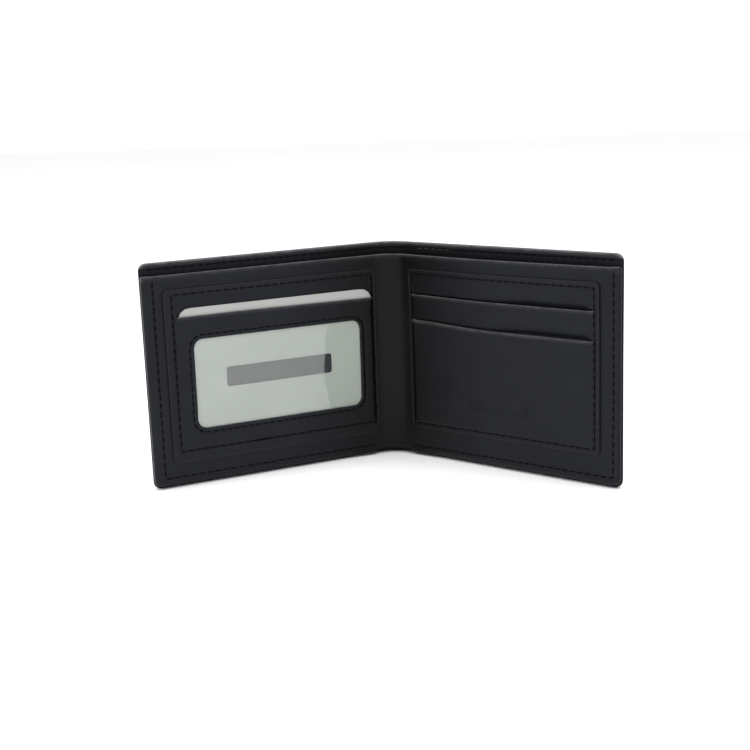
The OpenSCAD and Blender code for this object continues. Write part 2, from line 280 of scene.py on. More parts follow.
def sheet_parts(
    side, s, z, front, back, keep=None, edge=None, radii=(0, 0), shape=None, wrap=None, highlight_and_wear_weight=None
):
    """Points, faces, surface coordinates and rim weight, for the leather's painted edge highlight, of one
    closed sheet on a grid of s and z.

    front and back give the depth of its two faces. keep marks the cells that are there, edge gives the
    distance to the nearest outline, which radii round off on the front and the back, shape moves the grid's
    points, and the last argument says how strongly each edge gets the painted highlight, with some scuffing."""
    grid_s, grid_z = np.meshgrid(s, z, indexing="ij")
    away = edge(grid_s, grid_z) if edge else np.full(grid_s.shape, 1.0)
    faces_d = [
        front(grid_s, grid_z) - (rounding(away, radii[0]) if radii[0] else 0),
        back(grid_s, grid_z) + (rounding(away, radii[1]) if radii[1] else 0),
    ]
    flat_s, flat_z = shape(grid_s, grid_z) if shape else (grid_s, grid_z)
    points = np.concatenate([place(side, flat_s, d, flat_z, wrap).reshape(-1, 3) for d in faces_d])
    sheet = np.concatenate([np.stack([side * flat_s, flat_z, d], -1).reshape(-1, 3) for d in faces_d])
    # The rim weight says how strongly the leather paints a highlight along each edge, broken up like
    # scuffing.
    rim = np.exp(-np.maximum(away, 0) / (0.5 * MM)) * (highlight_and_wear_weight(grid_s, grid_z) if highlight_and_wear_weight else 1)
    rim = np.tile(rim.ravel(), 2)
    cells = np.ones((len(s) - 1, len(z) - 1), bool)
    if keep is not None:
        middle_s, middle_z = (s[1:] + s[:-1]) / 2, (z[1:] + z[:-1]) / 2
        cells = keep(*np.meshgrid(middle_s, middle_z, indexing="ij"))
    index = np.arange(grid_s.size).reshape(grid_s.shape)
    corner = [index[:-1, :-1], index[1:, :-1], index[1:, 1:], index[:-1, 1:]]
    quads = np.stack([c[cells] for c in corner], -1)
    faces = [quads, quads[:, ::-1] + grid_s.size]
    padded = np.pad(cells, 1)
    along_s = padded[1:-1, 1:] != padded[1:-1, :-1]
    along_z = padded[1:, 1:-1] != padded[:-1, 1:-1]
    for start, stop, wall in ((index[:-1], index[1:], along_s), (index[:, :-1], index[:, 1:], along_z)):
        a, b = start[wall], stop[wall]
        faces.append(np.stack([a, b, b + grid_s.size, a + grid_s.size], -1))
    faces = np.concatenate(faces)
    used, faces = np.unique(faces, return_inverse=True)
    return points[used], faces.reshape(-1, 4), sheet[used], rim[used]


SHARP_EDGE = math.radians(42)


def make_sheet(name, material, *parts):
    """One smooth object from the parts that sheet_parts or stitches gave. Its faces look outwards, and its
    surface coordinates and the rim weight of its painted edge highlight, with some scuffing, are kept as
    attributes."""
    faces, count = [], 0
    for part in parts:
        faces += [[int(i) + count for i in face] for face in part[1]]
        count += len(part[0])
    points, sheet, rim = (np.concatenate([part[k] for part in parts]) for k in (0, 2, 3))
    mesh = bpy.data.meshes.new(name)
    mesh.from_pydata(points.tolist(), [], faces)
    flat = mesh.attributes.new("sheet", "FLOAT_VECTOR", "POINT")
    flat.data.foreach_set("vector", sheet.astype(np.float32).ravel())
    # The rim attribute carries the weight of the painted edge highlight.
    edge_highlight_and_wear = mesh.attributes.new("rim", "FLOAT", "POINT")
    edge_highlight_and_wear.data.foreach_set("value", rim.astype(np.float32))
    work = bmesh.new()
    work.from_mesh(mesh)
    bmesh.ops.recalc_face_normals(work, faces=work.faces)
    for face in work.faces:
        face.smooth = True
    for edge in work.edges:
        edge.smooth = edge.calc_face_angle(0) < SHARP_EDGE
    work.to_mesh(mesh)
    work.free()
    mesh.materials.append(material)
    obj = bpy.data.objects.new(name, mesh)
    bpy.context.scene.collection.objects.link(obj)
    return obj


# ---- stitches ----


def rounded_path(corners, radius):
    """Closely spaced points along straight runs whose corners are round."""
    corners = [np.array(c, float) for c in corners]
    points = [corners[0]]
    for before, at, after in zip(corners, corners[1:], corners[2:]):
        come, go = at - before, after - at
        come, go = come / np.linalg.norm(come), go / np.linalg.norm(go)
        centre = at - come * radius + go * radius
        for angle in np.linspace(0, math.pi / 2, 9):
            points.append(centre - go * radius * math.cos(angle) + come * radius * math.sin(angle))
    points.append(corners[-1])
    return np.array(points)


def box_path(low, high, radius):
    """A closed run round a rectangle, from the middle of its lower side."""
    middle = (low[0] + high[0]) / 2
    corners = [(middle, low[1]), (high[0], low[1]), (high[0], high[1]), (low[0], high[1])]
    return rounded_path(corners + [(low[0], low[1]), (middle, low[1])], radius)


STITCH_RINGS, STITCH_SIDES = 9, 8


def stitches(side, path, surface, outward=1, wrap=None, pitch=STITCH, lift=0.0, skew=0.09 * MM):
    """Separate twisted stitches along a path, each going into the leather at both ends.

    surface gives the depth of the leather, and outward is 1 for its inner side and -1 for its outer."""
    steps = np.linalg.norm(np.diff(path, axis=0), axis=1)
    reached = np.concatenate([[0], np.cumsum(steps)])
    count = max(1, int(round(reached[-1] / pitch)))
    t = np.linspace(0, 1, STITCH_RINGS)
    bend = (2 * t - 1) ** 4
    height = (0.1 * MM + lift) * (1 - bend) - 0.2 * MM * bend
    radius = THREAD_R * (1 - 0.3 * bend)
    around = np.linspace(0, 2 * math.pi, STITCH_SIDES, endpoint=False)
    points, faces, sheet = [], [], []
    for k in range(count):
        at = (k + 0.09 + 0.82 * t) * reached[-1] / count
        centre = np.stack([np.interp(at, reached, path[:, i]) for i in (0, 1)], -1)
        ahead = np.gradient(centre, axis=0)
        ahead /= np.linalg.norm(ahead, axis=1)[:, None]
        across = np.stack([-ahead[:, 1], ahead[:, 0]], -1)
        centre = centre + across * (skew * (2 * t - 1))[:, None]
        lobes = 1 + 0.13 * np.cos(2 * (around[None, :] - 5.0 * t[:, None]))
        ring = radius[:, None] * lobes
        s = centre[:, :1] + across[:, :1] * ring * np.cos(around)
        z = centre[:, 1:] + across[:, 1:] * ring * np.cos(around)
        base = surface(centre[:, 0], centre[:, 1])[:, None]
        d = base + outward * (height[:, None] + ring * np.sin(around))
        start = len(points) * STITCH_RINGS * STITCH_SIDES
        points.append(place(side, s, d, z, wrap).reshape(-1, 3))
        sheet.append(np.stack([side * s, z, d], -1).reshape(-1, 3))
        for i in range(STITCH_RINGS - 1):
            for j in range(STITCH_SIDES):
                a, b = i * STITCH_SIDES + j, i * STITCH_SIDES + (j + 1) % STITCH_SIDES
                faces.append([start + v for v in (a, b, b + STITCH_SIDES, a + STITCH_SIDES)])
        last = (STITCH_RINGS - 1) * STITCH_SIDES
        faces.append([start + j for j in range(STITCH_SIDES)])
        faces.append([start + last + j for j in reversed(range(STITCH_SIDES))])
    points, sheet = np.concatenate(points), np.concatenate(sheet)
    return points, faces, sheet, np.zeros(len(points))


# ---- materials ----


class Shader:
    """A material whose nodes are added one call at a time."""

    def __init__(self, name):
        self.material = bpy.data.materials.new(name)
        self.material.use_nodes = True
        self.tree = self.material.node_tree
        self.tree.nodes.clear()
        self.output = self.tree.nodes.new("ShaderNodeOutputMaterial")

    def add(self, kind, settings=None, **inputs):
        """A node with its settings, and its inputs by name, each a value or another node's output."""
        node = self.tree.nodes.new("ShaderNode" + kind)
        for key, value in (settings or {}).items():
            setattr(node, key, value)
        for key, value in inputs.items():
            name = key.replace("_", " ")
            socket = node.inputs[int(key[1:])] if key[0] == "i" and key[1:].isdigit() else node.inputs[name]
            if isinstance(value, bpy.types.NodeSocket):
                self.tree.links.new(value, socket)
            else:
                socket.default_value = value
        return node

    def math(self, operation, a, b=0.0, c=0.0):
        return self.add("Math", {"operation": operation}, i0=a, i1=b, i2=c).outputs[0]

    def spread(self, value, low, high, to_low=0.0, to_high=1.0):
        """A value from low to high, spread over another span."""
        node = self.add("MapRange", None, i0=value, i1=low, i2=high, i3=to_low, i4=to_high)
        return node.outputs[0]

    def mix(self, factor, a, b):
        return self.add("Mix", {"data_type": "RGBA"}, i0=factor, i6=a, i7=b).outputs[2]

    def surface(self):
        """The piece's own s, z and d, which stay with the leather when it bends."""
        return self.add("Attribute", {"attribute_name": "sheet"}).outputs["Vector"]

    def rim(self):
        return self.add("Attribute", {"attribute_name": "rim"}).outputs["Fac"]

    def noise(self, vector, size, detail=3.0):
        node = self.add("TexNoise", None, Vector=vector, Scale=1 / size, Detail=detail, Roughness=0.55)
        return node.outputs[0]

    def finish(self, shader):
        self.tree.links.new(shader, self.output.inputs["Surface"])
        return self.material


def grey(value, blue=1.0):
    """A grey, or one that leans to blue."""
    return (value, value * (0.8 + 0.2 * blue), value * blue, 1.0)


def leather(name, colour, edge_highlight_and_wear, roughness, grain=0.62 * MM, creases=0.0, gloss_level=0.15):
    """Smooth leather: fine pebbled grain, a dye whose tone differs at random, painted shade that darkens it
    towards the fold, and edges lit by a painted highlight with some scuffing.
    """
    m = Shader(name)
    where = m.surface()
    cells = m.add("TexVoronoi", {"feature": "SMOOTH_F1"}, Vector=where, Scale=1 / grain, Smoothness=0.6)
    pores = m.noise(where, 0.2 * MM, 4.0)
    height = m.math("MULTIPLY_ADD", pores, 0.45, cells.outputs["Distance"])
    out = m.math("ABSOLUTE", m.add("SeparateXYZ", None, Vector=where).outputs[0])
    if creases:
        long_ways = m.add("VectorMath", {"operation": "MULTIPLY"}, i0=where, i1=(1.0, 0.09, 1.0)).outputs[0]
        lines = m.noise(long_ways, 1.5 * MM, 2.0)
        near = m.spread(out, 2 * MM, 14 * MM, creases, 0.0)
        height = m.math("ADD", height, m.math("MULTIPLY", lines, near))
    bump = m.add("Bump", None, Height=height, Strength=0.35, Distance=0.05 * MM)
    dye = m.spread(m.noise(where, 14 * MM, 4.0), 0.3, 0.7)
    # Edge highlight and scuffing: along the edges the rim weight mixes in a pale grey, mostly a painted
    # highlight, broken up by noise like scuffs.
    pale_highlight = m.math("MULTIPLY", m.rim(), m.spread(m.noise(where, 3 * MM), 0.3, 0.75, 0.35, 1.0))
    dye_and_fold_shade = m.mix(dye, grey(colour, 1.8), grey(colour * 1.25, 1.8))
    # Painted shade: the dye is darkest, a fifth of its tone, within 8 mm of the fold, and plain again 46 mm
    # from it.
    dye_and_fold_shade = m.mix(m.spread(out, 8 * MM, 46 * MM), grey(colour * 0.2, 1.8), dye_and_fold_shade)
    tone = m.mix(pale_highlight, dye_and_fold_shade, grey(edge_highlight_and_wear, 1.05))
    gloss = m.spread(m.noise(where, 5 * MM, 3.0), 0.25, 0.75, roughness - 0.02, roughness + 0.02)
    gloss = m.math("SUBTRACT", gloss, m.math("MULTIPLY", pale_highlight, 0.1))
    shader = m.add("BsdfPrincipled", None, Base_Color=tone, Roughness=gloss, Normal=bump.outputs[0])
    shader.inputs["Specular IOR Level"].default_value = gloss_level
    return m.finish(shader.outputs[0])


def cloth(name, colour, pitch=0.45 * MM):
    """Fine woven lining: threads both ways, with a faint sheen."""
    m = Shader(name)
    where = m.surface()
    turns = (math.pi * 2) / pitch
    parts = m.add("SeparateXYZ", None, Vector=where)
    weft = m.math("SINE", m.math("MULTIPLY", parts.outputs[0], turns))
    warp = m.math("SINE", m.math("MULTIPLY", parts.outputs[1], turns))
    weave = m.math("MULTIPLY", weft, warp)
    fuzz = m.noise(where, 0.25 * MM, 3.0)
    height = m.math("ADD", weave, fuzz)
    bump = m.add("Bump", None, Height=height, Strength=0.5, Distance=0.06 * MM)
    tone = m.mix(m.spread(weave, -1.0, 1.0), grey(colour), grey(colour * 1.7, 1.05))
    gloss = m.spread(fuzz, 0.2, 0.8, 0.72, 0.9)
    shader = m.add("BsdfPrincipled", None, Base_Color=tone, Roughness=gloss, Normal=bump.outputs[0])
    shader.inputs["Sheen Weight"].default_value = 0.15
    shader.inputs["Sheen Roughness"].default_value = 0.5
    return m.finish(shader.outputs[0])


def thread(name, colour, pale_highlight=0.0):
    """Waxed black thread: fine fibres, a little uneven in tone, and perhaps a painted highlight that makes it
    pale beside the fold.
    """
    m = Shader(name)
    where = m.surface()
    fibres = m.noise(where, 0.12 * MM, 3.0)
    bump = m.add("Bump", None, Height=fibres, Strength=0.5, Distance=0.04 * MM)
    tone = m.mix(m.noise(where, 2.0 * MM), grey(colour), grey(colour * 2.2))
    # Painted highlight: pale grey thread within 7 mm of s = 16 mm, fading out by 11 mm.
    if pale_highlight:
        out = m.add("SeparateXYZ", None, Vector=where).outputs[0]
        away = m.math("ABSOLUTE", m.math("SUBTRACT", out, 16 * MM))
        tone = m.mix(m.spread(away, 7 * MM, 11 * MM, 1.0, 0.0), tone, grey(pale_highlight))
    gloss = m.spread(fibres, 0.2, 0.8, 0.45, 0.65)
    shader = m.add("BsdfPrincipled", None, Base_Color=tone, Roughness=gloss, Normal=bump.outputs[0])
    shader.inputs["Specular IOR Level"].default_value = 0.04
    return m.finish(shader.outputs[0])


def inner_fibre(name, size, detail, relief, dark, light, dullest):
    """Board or cloth for the CAD pieces that stay on show inside, by object coordinates."""
    m = Shader(name)
    fibre = m.noise(m.add("TexCoord").outputs["Object"], size, detail)
    bump = m.add("Bump", None, Height=fibre, Strength=relief, Distance=0.05 * MM)
    tone = m.mix(fibre, dark, light)
    gloss = m.spread(fibre, 0.2, 0.8, 0.75, dullest)
    shader = m.add("BsdfPrincipled", None, Base_Color=tone, Roughness=gloss, Normal=bump.outputs[0])
    return m.finish(shader.outputs[0])


def card_stock(name):
    """Pale grey-green card with a faint paper tooth, and a slightly darker band along its edges."""
    m = Shader(name)
    where = m.surface()
    tooth = m.noise(where, 0.3 * MM, 4.0)
    blotch = m.spread(m.noise(where, 18 * MM, 3.0), 0.3, 0.7)
    bump = m.add("Bump", None, Height=tooth, Strength=0.12, Distance=0.02 * MM)
    tone = m.mix(blotch, (0.345, 0.349, 0.338, 1), (0.378, 0.382, 0.369, 1))
    tone = m.mix(m.math("MULTIPLY", m.rim(), 0.5), tone, (0.24, 0.245, 0.24, 1))
    gloss = m.spread(tooth, 0.2, 0.8, 0.42, 0.56)
    shader = m.add("BsdfPrincipled", None, Base_Color=tone, Roughness=gloss, Normal=bump.outputs[0])
    return m.finish(shader.outputs[0])


def ink(name):
    """Dark grey printing ink, slightly uneven."""
    m = Shader(name)
    where = m.surface()
    speck = m.noise(where, 0.5 * MM, 4.0)
    tone = m.mix(speck, (0.008, 0.009, 0.014, 1), (0.016, 0.018, 0.025, 1))
    gloss = m.spread(speck, 0.2, 0.8, 0.5, 0.6)
    shader = m.add("BsdfPrincipled", None, Base_Color=tone, Roughness=gloss)
    shader.inputs["Specular IOR Level"].default_value = 0.06
    return m.finish(shader.outputs[0])


def clear_film(name):
    """Clear glossy film, with a painted reflection: a milky white wash over its part away from the fold,
    behind a wavy curved border, and clear near the fold.
    """
    m = Shader(name)
    where = m.surface()
    parts = m.add("SeparateXYZ", None, Vector=where)
    out = m.math("MULTIPLY", parts.outputs[0], -1.0)
    up = m.math("SUBTRACT", parts.outputs[1], (WINDOW_LOW[2] + WINDOW_HIGH[2]) / 2)
    curve = m.math("MULTIPLY", m.math("MULTIPLY", up, up), 7.0)
    border = m.math("SUBTRACT", WINDOW_LOW[0] + 17.5 * MM, curve)
    wander = m.spread(m.noise(where, 9 * MM, 2.0), 0.0, 1.0, -1.2 * MM, 1.2 * MM)
    past = m.math("SUBTRACT", out, m.math("ADD", border, wander))
    # Painted reflection: past the border up to about a tenth of the film turns milky white, varied by noise.
    reflection_wash = m.spread(past, -0.5 * MM, 0.5 * MM, 0.0, 0.105)
    wash_variation = m.spread(m.noise(where, 6 * MM, 4.0), 0.3, 0.7, 0.85, 1.1)
    reflection_wash = m.math("MULTIPLY", reflection_wash, wash_variation)
    waves = m.noise(where, 12 * MM, 2.0)
    bump = m.add("Bump", None, Height=waves, Strength=0.3, Distance=0.4 * MM)
    gloss_rough = m.spread(m.noise(where, 2 * MM), 0.2, 0.8, 0.04, 0.09)
    clear = m.add("BsdfTransparent", None, Color=(0.975, 1.0, 0.98, 1))
    wash_layer = m.add("BsdfPrincipled", None, Base_Color=(0.92, 0.93, 0.92, 1), Roughness=0.3)
    body = m.add("MixShader", None, i0=reflection_wash, i1=clear.outputs[0], i2=wash_layer.outputs[0])
    shine = m.add("BsdfGlossy", None, Color=(1, 1, 1, 1), Roughness=gloss_rough, Normal=bump.outputs[0])
    edge = m.add("Fresnel", None, IOR=1.2)
    both = m.add("MixShader", None, i0=edge.outputs[0], i1=body.outputs[0], i2=shine.outputs[0])
    return m.finish(both.outputs[0])


COVER_LEATHER = leather("black_cover_leather", 0.0044, 0.085, 0.4, creases=0.8)
LINER_LEATHER = leather("black_liner_leather", 0.0048, 0.08, 0.38, 0.55 * MM, creases=0.4)
POCKET_LEATHER = leather("black_pocket_leather", 0.0048, 0.085, 0.38, 0.5 * MM)
# A shaded copy of the black leather, darker and less glossy: painted shade for the cover's inner hem band,
# the right panel's end, and, with dark edge paint, the pocket blocks' side walls.
SHADED_LEATHER = leather("black_leather_painted_shade", 0.004, 0.02, 0.5, gloss_level=0.1)
LINING_CLOTH = cloth("black_lining_cloth", 0.008)
BACKING_CLOTH = cloth("black_backing_cloth", 0.007, 0.6 * MM)
THREAD = thread("black_waxed_thread", 0.0016)
HIGHLIGHTED_THREAD = thread("waxed_thread_painted_highlight", 0.0016, 0.03)
BOARD = inner_fibre("fibre_board", 0.8 * MM, 5.0, 0.4, (0.30, 0.27, 0.22, 1), (0.46, 0.42, 0.35, 1), 0.95)
POCKET_CLOTH = inner_fibre("black_pocket_cloth", 0.4 * MM, 4.0, 0.5, grey(0.006), grey(0.016), 0.92)
CARD_STOCK = card_stock("pale_card_stock")
CARD_INK = ink("dark_grey_ink")
FILM = clear_film("clear_window_film")


# ---- surfaces that several pieces share ----

BOW = {-1: 0.0, 1: 2.2 * MM}


def bow(side, s, z):
    """How far the liner and its pocket stand out from the cover near the top."""
    across = np.sin(math.pi * np.clip(s / PANEL_END, 0, 1))
    return BOW[side] * across * smooth((z - 58 * MM) / (34 * MM))


def edge_grooves(side, s, z, depth, width):
    """The valley of the edge seam, which runs up the side and along the bottom."""
    seam = EDGE_SEAM_S[side]
    up = groove(s - seam, depth, width) * (z > EDGE_SEAM_Z)
    along = groove(z - EDGE_SEAM_Z, depth, width) * smooth((s - 3 * MM) / (3 * MM)) * (s < seam + 0.3 * MM)
    return np.minimum(up, along)


def liner_face(side):
    """Depth of the liner's face: pinched along the edge seam, and rolled back outside it."""

    def depth(s, z):
        seam = EDGE_SEAM_S[side]
        held = smooth((s - LINER_LOW[0]) / (16 * MM))
        out_s = np.clip((s - seam) / (PANEL_END - seam), 0, 1)
        out_z = np.clip((EDGE_SEAM_Z - z) / (EDGE_SEAM_Z - LINER_LOW[2]), 0, 1) * held
        fall = EDGE_DROP * np.maximum(out_s, out_z) ** 2
        top_free = smooth((LINER_HIGH[2] - 1.2 * MM - z) / (1.5 * MM))
        seams = edge_grooves(side, s, z, 0.42 * MM, 0.6 * MM) * top_free
        return LINER_FACE - fall + bow(side, s, z) + ripple(s, z, side) + seams

    return depth


def cover_outside(side):
    """Depth of the cover's outer face, with the grooves of its three seams."""

    def depth(s, z):
        top_seam = groove(z - HEM_SEAM_Z, 0.2 * MM) * (s < EDGE_SEAM_S[1] + 0.3 * MM)
        seams = np.minimum(edge_grooves(side, s, z, GROOVE, 0.55 * MM), top_seam)
        return ripple(s, z, 4.0) * 0.8 - seams

    return depth


def cover_inside(s, z):
    """Depth of the cover's inner face: thicker where its edges are turned in."""
    hem = smooth((z - HEM_Z) / (0.35 * MM))
    low = smooth((TURNED_BAND - z) / (0.35 * MM))
    end = smooth((s - (PANEL_END - TURNED_BAND)) / (0.35 * MM))
    plain = LINING_LOW[1] + 0.1 * MM
    turned = RIM_DEPTH + ripple(s, z, 2.0) + groove(z - HEM_SEAM_Z, 0.2 * MM)
    return plain + (turned - plain) * np.maximum(np.maximum(hem, low), end)


def slot_mouth(z, lip_z, below, above, in_slot):
    """Depth across a slot: the lip below, the strip above, and a slope between them at its ends."""
    slope = smooth((z - lip_z) / (1.3 * MM))
    shut = below + (above - below) * slope
    return np.where(z <= lip_z + 1e-6, below, np.where(in_slot, above, shut))


def in_slot(side, s):
    return (s > SLOTS[side][0] - 1e-6) & (s < SLOTS[side][1] + 1e-6)


def inside_of(box, s, z):
    """Distance inside a box's outline, seen from its front."""
    return box_edge(s, z, *outline(*box))


def gape(s, z, lip_z):
    """How a slot stands open towards the panel's end: its lip curls out and the strip above it sinks in."""
    share = in_slot(1, s) * (0.25 + 0.75 * smooth((s - 38 * MM) / (30 * MM)))
    share = share * smooth((SLOTS[1][1] - s) / (5 * MM))
    lip = 0.45 * MM * smooth(1 - (lip_z - z) / (5 * MM)) * (z <= lip_z + 1e-6)
    sunk = 0.75 * MM * smooth(1 - (z - lip_z) / (3.5 * MM)) * (z > lip_z + 1e-6)
    return share * (lip - sunk)


def block_grooves(side, s, z):
    """The seam round a pocket block, a little inside its outline."""
    return groove(inside_of(SEAMS[side], s, z), 0.26 * MM, 0.4 * MM)


def pillow(side, s, z, depth):
    """A pocket's face held down on its seam: thin outside it, and risen to its full depth just inside it."""
    risen = smooth((inside_of(SEAMS[side], s, z) + 0.3 * MM) / (1.7 * MM))
    return EDGE_FACE + (depth - EDGE_FACE) * risen


def left_face(s, z):
    """Depth of the left pocket's face."""
    below = LEFT_LIP_D + LEAN * (z - UPPER_LIP_Z)
    base = pillow(-1, s, z, slot_mouth(z, UPPER_LIP_Z, below, STRIP_FACE, in_slot(-1, s)))
    window = groove(window_gap(s, z) - WINDOW_SEAM, 0.2 * MM, 0.5 * MM)
    return base + block_grooves(-1, s, z) + window + 0.6 * ripple(s, z, 5.0)


def window_gap(s, z):
    """Distance outside the window's outline."""
    return -box_edge(s, z, *WINDOW)


MARK_AT, MARK_SIZE, MARK_EDGE = (49 * MM, 28 * MM), (15.5 * MM, 2.4 * MM), 0.5 * MM


def right_face(s, z):
    """Depth of the right pocket's face: lower field, middle strip and top strip."""
    lower = LOWER_FOOT_D + (LOWER_LIP_D - LOWER_FOOT_D) * (z - FIELD_Z0) / (LOWER_LIP_Z - FIELD_Z0)
    rise = (MIDDLE_LIP_D - MIDDLE_FOOT_D) / (UPPER_LIP_Z - LOWER_LIP_Z)
    middle = MIDDLE_FOOT_D + rise * (z - LOWER_LIP_Z)
    base = slot_mouth(z, LOWER_LIP_Z, lower, middle, in_slot(1, s))
    top = slot_mouth(z, UPPER_LIP_Z, middle, STRIP_FACE, in_slot(1, s))
    base = pillow(1, s, z, np.where(z > (LOWER_LIP_Z + UPPER_LIP_Z) / 2, top, base))
    mark = smooth((MARK_SIZE[0] - np.abs(s - MARK_AT[0])) / MARK_EDGE)
    mark = mark * smooth((MARK_SIZE[1] - np.abs(z - MARK_AT[1])) / MARK_EDGE)
    for lip_z in (LOWER_LIP_Z, UPPER_LIP_Z):
        base = base + gape(s, z, lip_z)
    return base + block_grooves(1, s, z) + bow(1, s, z) + 0.8 * ripple(s, z, 6.5) - 0.3 * MM * mark


# ---- pieces on both panels ----


BLEND_START, COVER_BLEND_END, LINER_BLEND_END = 0.5 * MM, 13 * MM, 10.5 * MM


def blend_cover(obj, side, end=COVER_BLEND_END):
    """Bakes the object's transform into its mesh."""
    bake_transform(obj)


def blend_liner(obj, side):
    """Bakes the object's transform into its mesh, through blend_cover."""
    blend_cover(obj, side, LINER_BLEND_END)


FOLD_SLIVER = 0.04 * MM


def top_highlight_and_wear(top, most=1.0):
    """Painted highlight, with some scuffing: strongest along the top edge, and slight elsewhere."""
    return lambda s, z: np.where(top - z < 2.2 * MM, most, 0.1)


def line_with(obj, material, where):
    """Gives a second leather to the faces whose middle is picked by where(s, z, d)."""
    mesh = obj.data
    mesh.materials.append(material)
    sheet = np.zeros(len(mesh.vertices) * 3, np.float32)
    mesh.attributes["sheet"].data.foreach_get("vector", sheet)
    corners = np.zeros(len(mesh.loops), np.int32)
    mesh.loops.foreach_get("vertex_index", corners)
    middle = sheet.reshape(-1, 3)[corners].reshape(-1, 4, 3).mean(1)
    chosen = where(np.abs(middle[:, 0]), middle[:, 1], middle[:, 2])
    mesh.polygons.foreach_set("material_index", chosen.astype(np.int32))


def shaded_end(side, s):
    """Picks the right panel's end, which gets painted shade: the shaded copy of the leather, darker and
    duller than the left one's.
    """
    return (side > 0) & (s > PANEL_END - 0.7 * MM)


def make_cover(word, side):
    """Half of the cover, with its turned edges, from the middle of the fold to the panel's end."""
    radius = RIM_DEPTH / 2
    start = COVER_WRAP.middle
    fold = [start + FOLD_SLIVER, np.linspace(start, COVER_WRAP.leave, 12)]
    s = ticks(start, PANEL_END, 1.6 * MM, [
        *fold, PANEL_END - radius * ROUND_STEPS, EDGE_SEAM_S[side] + GROOVE_STEPS,
        PANEL_END - TURNED_BAND + LEDGE_STEPS,
    ])
    z = ticks(0, HEIGHT, 1.6 * MM, [
        *edge_lines(0, HEIGHT, radius), EDGE_SEAM_Z + GROOVE_STEPS, HEM_SEAM_Z + GROOVE_STEPS,
        HEM_Z + LEDGE_STEPS, TURNED_BAND - LEDGE_STEPS,
    ])
    low, high = (start - 1, 0), (PANEL_END, HEIGHT)
    part = sheet_parts(
        side, s, z, cover_inside, cover_outside(side),
        edge=lambda a, b: box_edge(a, b, low, high), radii=(radius, radius), highlight_and_wear_weight=top_highlight_and_wear(HEIGHT, 2.4),
        shape=lambda a, b: round_outline(a, b, low, high, CORNER_R, ((1, -1), (1, 1))),
        wrap=COVER_WRAP,
    )
    obj = make_sheet("cover_leather_" + word, COVER_LEATHER, part)
    # Painted shade: the inner face of the turned hem below the top rim, and the right panel's end, get the
    # shaded copy of the leather.
    line_with(obj, SHADED_LEATHER, lambda s, z, d: (z < HEIGHT - 1.9 * MM) & (
        (d > 1.5 * MM) & (z > HEM_Z - MM) | shaded_end(side, s)
    ))
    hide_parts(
        "cover_" + word, "top_hem_" + word, "side_hem_" + word, "bottom_hem_" + word,
        "cover_spine", "top_hem_spine", "bottom_hem_spine",
    )
    blend_cover(obj, side)


def make_lining(word, side):
    """Half of the lining that is glued inside the cover."""
    start = COVER_WRAP.middle
    s = ticks(start, PANEL_END - TURNED_BAND + 0.5 * MM, 4 * MM, [
        start + FOLD_SLIVER, np.linspace(start, COVER_WRAP.leave, 9),
    ])
    z = ticks(TURNED_BAND - 0.5 * MM, HEM_Z + 0.5 * MM, 4 * MM)
    part = sheet_parts(
        side, s, z,
        lambda a, b: LINING_HIGH[1] + 0.25 * MM + ripple(a, b, 9.0),
        lambda a, b: LINING_LOW[1] + 0.05 * MM + 0 * a,
        wrap=COVER_WRAP,
    )
    obj = make_sheet("note_lining_" + word, LINING_CLOTH, part)
    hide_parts("lining_" + word, "spine_lining")
    blend_cover(obj, side)


LINER_EDGE_R = 0.42 * MM


def liner_shape(s, z):
    """Rounds the liner's two outer corners and lifts its lower edge clear of the floor at the fold."""
    low, high = (LINER_WRAP.middle - 1, LINER_LOW[2]), (PANEL_END, LINER_HIGH[2])
    lift = 1.7 * MM * (1 - smooth((s - 1.5 * MM) / (3 * MM))) * (1 - smooth((z - low[1]) / (6 * MM)))
    s, z = round_outline(s, z, low, high, CORNER_R, ((1, -1),))
    s, z = round_outline(s, z, low, high, 1.0 * MM, ((1, 1),))
    return s, z + lift


def make_liner(word, side):
    """Half of the liner. Its side and bottom edges are turned in, and its top edge is turned over."""
    face = liner_face(side)
    start = LINER_WRAP.middle
    low, high = (start - 1, LINER_LOW[2]), (PANEL_END, LINER_HIGH[2])
    s = ticks(start, PANEL_END, 1.4 * MM, [
        start + FOLD_SLIVER, np.linspace(start, LINER_WRAP.leave, 10),
        PANEL_END - LINER_EDGE_R * ROUND_STEPS, EDGE_SEAM_S[side] + GROOVE_STEPS,
    ])
    z = ticks(low[1], high[1], 1.4 * MM, [
        *edge_lines(low[1], high[1], LINER_EDGE_R), EDGE_SEAM_Z + GROOVE_STEPS,
    ])

    def behind(a, b):
        turned = np.maximum(smooth((a - (PANEL_END - 4 * MM)) / MM), smooth((5 * MM - b) / MM))
        turned = turned * smooth((a - LINER_LOW[0]) / (4 * MM))
        over = smooth((b - (high[1] - 4 * MM)) / MM)
        back = face(a, b) - LINER_T - 0.35 * MM * over
        edge_back = RIM_DEPTH + 0.05 * MM
        return back + (np.minimum(edge_back, back) - back) * turned

    part = sheet_parts(
        side, s, z, face, behind,
        edge=lambda a, b: box_edge(a, b, low, high), radii=(LINER_EDGE_R, LINER_EDGE_R),
        shape=liner_shape, wrap=LINER_WRAP, highlight_and_wear_weight=top_highlight_and_wear(high[1]),
    )
    obj = make_sheet("liner_leather_" + word, LINER_LEATHER, part)
    # Painted shade on the right panel's end.
    line_with(obj, SHADED_LEATHER, lambda s, z, d: shaded_end(side, s))
    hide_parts("liner_" + word, "liner_fold")
    blend_liner(obj, side)


